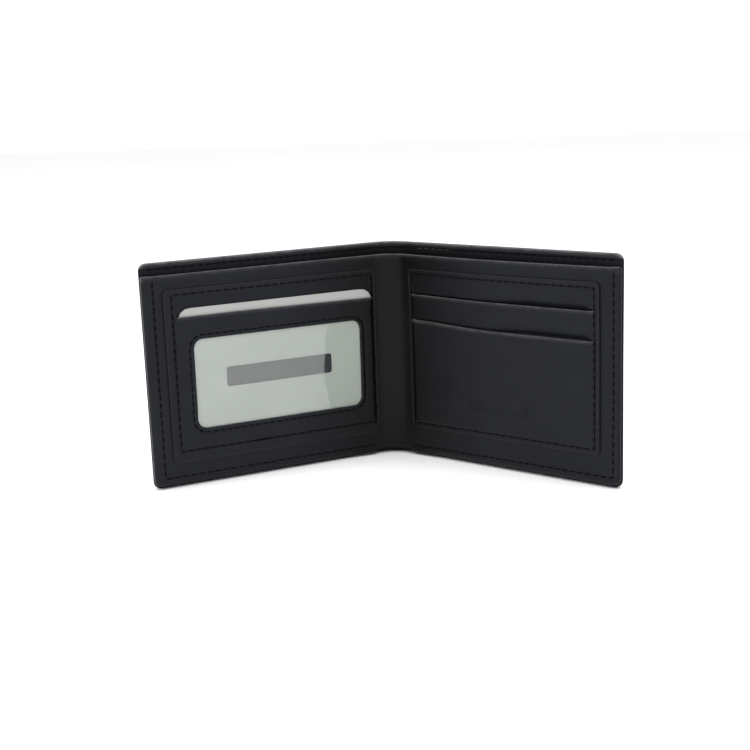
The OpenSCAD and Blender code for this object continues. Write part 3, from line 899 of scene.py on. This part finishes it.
def make_backing(word, side):
    """Cloth behind the liner, seen from above in the note compartment."""
    face = liner_face(side)
    start = LINER_WRAP.middle
    s = ticks(start, PANEL_END - TURNED_BAND, 4 * MM, [
        start + FOLD_SLIVER, np.linspace(start, LINER_WRAP.leave, 9),
    ])
    z = ticks(TURNED_BAND + 1 * MM, LINER_HIGH[2] - 5 * MM, 4 * MM)
    part = sheet_parts(
        side, s, z,
        lambda a, b: face(a, b) - LINER_T + 0.02 * MM,
        lambda a, b: face(a, b) - LINER_T - 0.18 * MM,
        wrap=LINER_WRAP,
    )
    obj = make_sheet("liner_backing_cloth_" + word, BACKING_CLOTH, part)
    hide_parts("liner_backing_" + word)
    blend_liner(obj, side)


def make_edge_seams(word, side):
    """The edge seam on the liner and on the cover's outer face."""
    top = LINER_HIGH[2] - 1.6 * MM
    seam = EDGE_SEAM_S[side]
    path = rounded_path([(4.2 * MM, EDGE_SEAM_Z), (seam, EDGE_SEAM_Z), (seam, top)], 0.6 * MM)
    for place_word, surface, outward, wrap, blend in (
        ("inside", liner_face(side), 1, LINER_WRAP, blend_liner),
        ("outside", cover_outside(side), -1, COVER_WRAP, blend_cover),
    ):
        seam_run = stitches(side, path, surface, outward=outward, wrap=wrap)
        obj = make_sheet(f"{word}_edge_seam_{place_word}", THREAD, seam_run)
        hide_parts(word + "_edge_stitching")
        blend(obj, side)


def make_hem_seams(word, side):
    """The seam along the turned top edge, inside and outside, as far as the middle of the fold."""
    path = np.array([(COVER_WRAP.middle, HEM_SEAM_Z), (EDGE_SEAM_S[1] - 0.5 * MM, HEM_SEAM_Z)])
    for place_word, surface, outward in (("inside", cover_inside, 1), ("outside", cover_outside(side), -1)):
        # The right panel's inside hem seam gets the thread with a painted highlight beside the fold.
        obj = make_sheet(
            f"{word}_hem_seam_{place_word}", HIGHLIGHTED_THREAD if (side, outward) == (1, 1) else THREAD,
            stitches(side, path, surface, outward=outward, wrap=COVER_WRAP),
        )
        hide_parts(word + "_hem_stitching", "spine_hem_stitching")
        blend_cover(obj, side)


# ---- pocket blocks ----

LIP_R = 0.26 * MM
BLOCK_EDGE_R = 0.4 * MM
RIM_SOLID = 2.9 * MM


def block_lines(side):
    """Grid lines along s for a block's edges, its seam and the ends of its slots."""
    seams = [box[0] + GROOVE_STEPS for box in SEAMS[side]]
    return [*SLOTS[side], *edge_lines(BLOCKS[side][0][0], BLOCK_END, BLOCK_EDGE_R), *seams]


def lip_highlight_and_wear(side, *lips):
    """Painted highlight, with some scuffing: strongest along the lips of the slots, and slight elsewhere."""

    def highlight_and_wear_weight(s, z):
        near = np.min([np.where(z <= lip + 1e-6, lip - z, 1.0) for lip in lips], 0) < MM
        return np.where(near & in_slot(side, s), 1.0, 0.12)

    return highlight_and_wear_weight


def edge_paint_and_shade(side):
    """Picks the walls at a block's two sides, which get the shaded copy of the leather: dark edge paint, and
    painted shade for the gap beside them.
    """

    def where(s, z, d):
        start, ends = BLOCKS[side][0][0], 0.02 * MM
        return (np.minimum(s - start, BLOCK_END - s) < ends) & (d < STRIP_FACE + bow(side, s, z))

    return where


def slot_lines(lip_z):
    """Grid lines along z at a slot: the lip's round edge, the slot, and the slope at its ends."""
    upper = lip_z + SLOT_GAP + LIP_R * ROUND_STEPS
    return [lip_z - LIP_R * ROUND_STEPS, upper, lip_z + np.array([0.9, 1.3]) * MM]


def slot_edge(side, s, z, lip_z):
    """Distance from a slot's two long edges, large outside the slot's ends."""
    away = np.where(z <= lip_z + 1e-6, lip_z - z, z - lip_z - SLOT_GAP)
    return np.where(in_slot(side, s), np.maximum(away, 0), 1.0)


def block_back(face, side):
    """Back of a block's leather: thin in the middle, and down on the liner all round."""

    def depth(s, z):
        inside = inside_of(BLOCKS[side], s, z)
        thin = face(s, z) - FACING_T
        seat = LINER_FACE - 0.15 * MM + bow(side, s, z)
        return np.where(inside < RIM_SOLID, np.minimum(seat, thin), thin)

    return depth


def window_lines(k):
    """Grid lines for the window's round rim and its seam, along s when k is 0 and along z when it is 1."""
    low, high = WINDOW[0][k], WINDOW[1][k]
    rim, seam = LIP_R * ROUND_STEPS, WINDOW_SEAM + GROOVE_STEPS[1:-1]
    return [low - rim, high + rim, low - seam, high + seam]


def make_left_pocket():
    """The leather of the window pocket, with its slot and window."""
    low, high = outline(*BLOCKS[-1])
    s = ticks(low[0], high[0], 1.0 * MM, [*block_lines(-1), *window_lines(0)])
    z = ticks(low[1], high[1], 1.0 * MM, [
        *edge_lines(low[1], high[1], BLOCK_EDGE_R), *slot_lines(UPPER_LIP_Z), *window_lines(1),
        *[box[2] + GROOVE_STEPS for box in SEAMS[-1]],
    ])

    def keep(a, b):
        open_slot = in_slot(-1, a) & (b > UPPER_LIP_Z) & (b < UPPER_LIP_Z + SLOT_GAP)
        return (window_gap(a, b) > 0) & ~open_slot

    def edge(a, b):
        window = np.maximum(window_gap(a, b), 0)
        return np.minimum(np.minimum(box_edge(a, b, low, high), window), slot_edge(-1, a, b, UPPER_LIP_Z))

    def shape(a, b):
        sag = 0.6 * MM * (1 - smooth(a / (70 * MM)))
        b = b - sag * np.exp(-(((b - UPPER_LIP_Z) / (3.5 * MM)) ** 2))
        a, b = round_outline(a, b, low, high, BLOCK_R)
        return round_outline(a, b, *WINDOW, WINDOW_R, beyond=2.4 * MM, fade=3.2 * MM)

    part = sheet_parts(
        -1, s, z, left_face, block_back(left_face, -1), keep, edge, (LIP_R, 0.1 * MM), shape,
        highlight_and_wear_weight=lip_highlight_and_wear(-1, UPPER_LIP_Z),
    )
    obj = make_sheet("window_pocket_leather", POCKET_LEATHER, part)
    line_with(obj, SHADED_LEATHER, edge_paint_and_shade(-1))
    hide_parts("left_pocket_facing")
    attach(obj, "left_panel")


LIP_LIFTS = ((LOWER_LIP_Z, 1.7 * MM), (UPPER_LIP_Z, 0.6 * MM))


def right_shape(s, z):
    """Rounds the block's corners, and curves both lips up towards the fold."""
    low, high = outline(*BLOCKS[1])
    near = 1 - smooth((s - low[0]) / (44 * MM))
    for lip_z, lift in LIP_LIFTS:
        z = z + near * lift * np.exp(-(((z - lip_z) / (6 * MM)) ** 2))
    return round_outline(s, z, low, high, BLOCK_R)


def make_right_pocket():
    """The leather of the card pockets, with two slots. The strips' lower ends are tucked behind the lips."""
    low, high = outline(*BLOCKS[1])
    slope = MARK_EDGE * np.array([0, 0.5, 1])
    mark_s, mark_z = ([at + k * (half - slope) for k in (-1, 1)] for at, half in zip(MARK_AT, MARK_SIZE))
    s = ticks(low[0], high[0], 1.0 * MM, [*block_lines(1), *mark_s])
    z = ticks(low[1], high[1], 1.0 * MM, [
        *edge_lines(low[1], high[1], BLOCK_EDGE_R), *slot_lines(UPPER_LIP_Z), *slot_lines(LOWER_LIP_Z),
        *[box[2] + GROOVE_STEPS for box in SEAMS[1]], *mark_z,
    ])

    def keep(a, b):
        shut = np.ones(a.shape, bool)
        for lip_z in (UPPER_LIP_Z, LOWER_LIP_Z):
            shut &= ~(in_slot(1, a) & (b > lip_z) & (b < lip_z + SLOT_GAP))
        return shut

    def edge(a, b):
        slots = np.minimum(slot_edge(1, a, b, UPPER_LIP_Z), slot_edge(1, a, b, LOWER_LIP_Z))
        return np.minimum(box_edge(a, b, low, high), slots)

    part = sheet_parts(
        1, s, z, right_face, block_back(right_face, 1), keep, edge, (LIP_R, 0.1 * MM), right_shape,
        highlight_and_wear_weight=lip_highlight_and_wear(1, UPPER_LIP_Z, LOWER_LIP_Z),
    )
    obj = make_sheet("card_pocket_leather", POCKET_LEATHER, part)
    line_with(obj, SHADED_LEATHER, edge_paint_and_shade(1))
    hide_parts("right_pocket_facing")
    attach(obj, "right_panel")


def make_block_seam(word, side, face, knot_s=None):
    """The seam round a pocket block, with a few stitches sewn over it again where it was tied off."""
    low, high = outline(*SEAMS[side])
    parts = [stitches(side, box_path(low, high, 0.7 * MM), face)]
    if knot_s:
        back = np.array([(knot_s - 3 * MM, low[1] + 0.2 * MM), (knot_s + 3 * MM, low[1] - 0.1 * MM)])
        parts.append(stitches(side, back, face, pitch=2 * MM, lift=0.35 * MM, skew=0.3 * MM))
    obj = make_sheet(word + "_pocket_seam", THREAD, *parts)
    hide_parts(word + "_pocket_stitching")
    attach(obj, word + "_panel")


def make_window_seam():
    path = box_path(WINDOW[0] - WINDOW_SEAM, WINDOW[1] + WINDOW_SEAM, WINDOW_R + WINDOW_SEAM)
    obj = make_sheet("window_seam", THREAD, stitches(-1, path, left_face, pitch=3.2 * MM))
    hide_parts("window_stitching")
    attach(obj, "left_panel")


def make_film():
    """The clear window, a thin sheet that bulges slightly."""
    low, high = outline(FILM_LOW, FILM_HIGH)
    s = ticks(low[0], high[0], 2.0 * MM)
    z = ticks(low[1], high[1], 2.0 * MM)

    def bulge(a, b):
        across = np.clip(box_edge(a, b, low, high) / (14 * MM), 0, 1)
        wave = np.sin(a / (11 * MM) + 0.7) * np.sin(b / (15 * MM) + 0.4)
        return smooth(across) * (0.16 + 0.08 * wave) * MM

    def back(a, b):
        return LEFT_LIP_D + LEAN * (b - UPPER_LIP_Z) - FACING_T - FILM_T - 0.02 * MM + bulge(a, b)

    part = sheet_parts(
        -1, s, z, lambda a, b: back(a, b) + FILM_T, back,
        shape=lambda a, b: round_outline(a, b, low, high, WINDOW_R + FILM_LAP),
    )
    obj = make_sheet("window_clear_film", FILM, part)
    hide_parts("window_film")
    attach(obj, "left_panel")


# ---- card ----


def card_face(s, z):
    return CARD_LOW[1] + CARD_T + LEAN * (z - CARD_LOW[2])


def make_card():
    """The loose card, with round corners."""
    low, high = outline(CARD_LOW, CARD_HIGH)
    radius = 0.15 * MM
    s = ticks(low[0], high[0], 3.0 * MM, edge_lines(low[0], high[0], radius))
    z = ticks(low[1], high[1], 3.0 * MM, edge_lines(low[1], high[1], radius))
    part = sheet_parts(
        -1, s, z, card_face, lambda a, b: card_face(a, b) - CARD_T,
        edge=lambda a, b: box_edge(a, b, low, high), radii=(radius, radius),
        shape=lambda a, b: round_outline(a, b, low, high, CARD_R),
    )
    obj = make_sheet("pale_insert_card", CARD_STOCK, part)
    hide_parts("insert_card")
    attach(obj, "card")


def make_card_bar(name, centre, size):
    """One plain printed bar with round corners, standing on the card by the thickness of its ink."""
    low, high = centre - np.array(size) / 2, centre + np.array(size) / 2
    corner = 1.2 * MM
    s = ticks(low[0], high[0], 2.0 * MM, edge_lines(low[0], high[0], corner))
    z = ticks(low[1], high[1], 2.0 * MM, edge_lines(low[1], high[1], corner))
    part = sheet_parts(
        -1, s, z, lambda a, b: card_face(a, b) + 0.025 * MM, lambda a, b: card_face(a, b) - 0.02 * MM,
        shape=lambda a, b: round_outline(a, b, low, high, corner),
    )
    obj = make_sheet(name, CARD_INK, part)
    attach(obj, "card")


# ---- everything ----

for word, side in SIDES.items():
    make_cover(word, side)
    make_lining(word, side)
    make_liner(word, side)
    make_backing(word, side)
    make_edge_seams(word, side)
    make_hem_seams(word, side)
make_left_pocket()
make_right_pocket()
make_block_seam("left", -1, left_face, knot_s=58 * MM)
make_block_seam("right", 1, right_face)
make_window_seam()
make_film()
make_card()
window_middle = (WINDOW[0] + WINDOW[1]) / 2
make_card_bar("card_print_bar", window_middle + [0, 1.5 * MM], (48 * MM, 8.5 * MM))

for node in ("stiffener_left", "stiffener_right", "left_pocket_back", "right_pocket_back", "slot_divider"):
    own = frame["nodes"][node].data.materials
    own.clear()
    own.append(BOARD if node.startswith("stiffener") else POCKET_CLOTH)

# ---- floor, light and camera ----

FLOOR_HALF = 3.0


def make_floor():
    mesh = bpy.data.meshes.new("floor")
    corners = [(-1, -1), (1, -1), (1, 1), (-1, 1)]
    mesh.from_pydata([(x * FLOOR_HALF, y * FLOOR_HALF, 0) for x, y in corners], [], [(0, 1, 2, 3)])
    floor = bpy.data.objects.new("floor", mesh)
    bpy.context.scene.collection.objects.link(floor)
    m = Shader("white_floor")
    where = m.add("TexCoord").outputs["Object"]
    tone = m.mix(m.noise(where, 0.3, 2.0), grey(0.9), grey(0.92))
    shader = m.add("BsdfPrincipled", None, Base_Color=tone, Roughness=0.7)
    shader.inputs["Specular IOR Level"].default_value = 0.1
    mesh.materials.append(m.finish(shader.outputs[0]))


def make_overhead_light(location, target, size, watts):
    data = bpy.data.lights.new("overhead", "AREA")
    data.shape = "RECTANGLE"
    data.size, data.size_y = size
    data.energy = watts
    light = bpy.data.objects.new("overhead", data)
    light.location = location
    light.rotation_euler = (Vector(target) - Vector(location)).to_track_quat("-Z", "Y").to_euler()
    bpy.context.scene.collection.objects.link(light)


def make_world(strength):
    world = bpy.data.worlds.new("studio")
    world.use_nodes = True
    background = world.node_tree.nodes["Background"]
    background.inputs["Color"].default_value = (1, 1, 1, 1)
    background.inputs["Strength"].default_value = strength
    bpy.context.scene.world = world


CAMERA_AZIMUTH = math.radians(6.4)
CAMERA_PITCH = math.radians(12.58)
CAMERA_ROLL = math.radians(2.11)
CAMERA_DISTANCE = 560.9 * MM
AIM_OFFSET = Vector((-5.0, 0.0, -5.6)) * MM


def make_camera():
    """A camera at the photograph's angle, aimed a little left of the wallet's middle and below it."""
    middle = (cad_low + cad_high) / 2
    forward = Vector((
        -math.sin(CAMERA_AZIMUTH) * math.cos(CAMERA_PITCH),
        math.cos(CAMERA_AZIMUTH) * math.cos(CAMERA_PITCH),
        -math.sin(CAMERA_PITCH),
    ))
    level = Vector((math.cos(CAMERA_AZIMUTH), math.sin(CAMERA_AZIMUTH), 0))
    above = level.cross(forward)
    right = level * math.cos(CAMERA_ROLL) - above * math.sin(CAMERA_ROLL)
    up = level * math.sin(CAMERA_ROLL) + above * math.cos(CAMERA_ROLL)
    data = bpy.data.cameras.new("camera")
    data.lens, data.sensor_width = 63.5, 36.0
    data.clip_start, data.clip_end = 0.01, 50
    camera = bpy.data.objects.new("camera", data)
    camera.matrix_world = Matrix.Translation(middle + AIM_OFFSET - forward * CAMERA_DISTANCE) @ Matrix(
        (right, up, -forward)
    ).transposed().to_4x4()
    bpy.context.scene.collection.objects.link(camera)
    bpy.context.scene.camera = camera


bpy.context.scene.view_settings.view_transform = "Standard"
make_floor()
make_world(1.04)
make_overhead_light((0.0, -0.2, 1.1), (0, 0, 0.03), (1.8, 1.5), 16.5)
make_camera()
